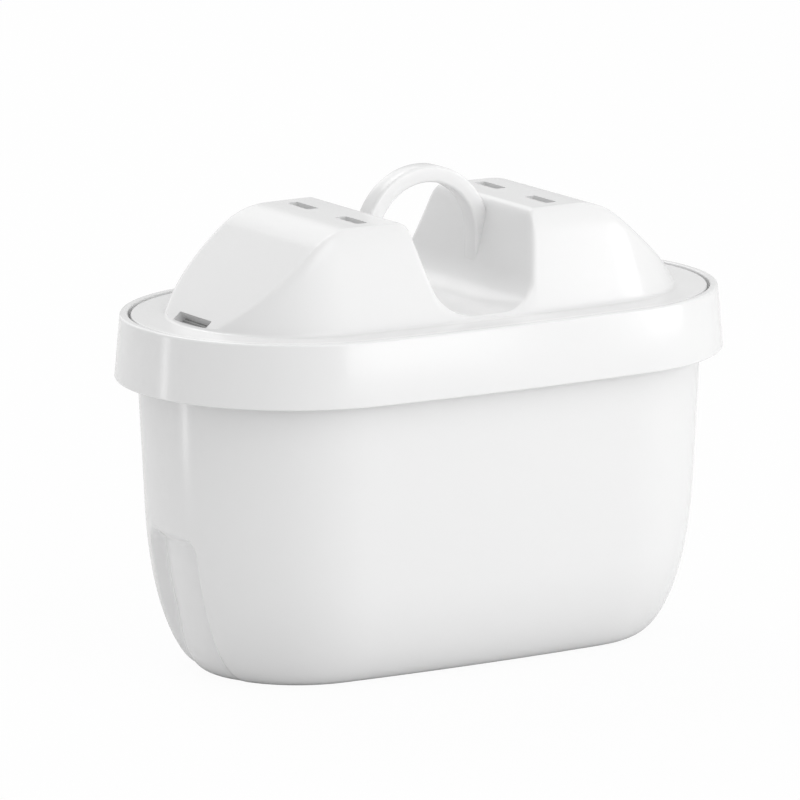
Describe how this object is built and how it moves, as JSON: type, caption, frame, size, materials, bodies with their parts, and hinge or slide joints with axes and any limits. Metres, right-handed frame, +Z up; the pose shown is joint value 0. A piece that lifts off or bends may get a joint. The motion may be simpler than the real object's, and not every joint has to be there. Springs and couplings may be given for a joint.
{
  "type": "water pitcher filter cartridge",
  "caption": "White oval filter cartridge for a water pitcher: a drafted cup with a hanging collar, and a lid with humps, a finger hollow and a pull ring.",
  "frame": {"origin": "middle of the flat base", "axes": "+X along the long side, +Y across it, +Z up through the pull ring"},
  "size_m": [0.106, 0.0594, 0.0799],
  "materials": {
    "housing": "satin white moulded plastic",
    "mesh": "fine woven mesh",
    "fleece": "non-woven fleece",
    "carbon": "black carbon granules",
    "resin": "amber resin beads"
  },
  "bodies": {
    "root": {"cup": "housing", "lid": "housing", "vent_screen_left": "mesh", "vent_screen_right": "mesh", "inlet_screen_left": "mesh", "inlet_screen_right": "mesh", "upper_fleece": "fleece", "carbon_bed": "carbon", "divider_fleece": "fleece", "resin_bed": "resin", "outlet_screen": "mesh"}
  },
  "joints": []
}
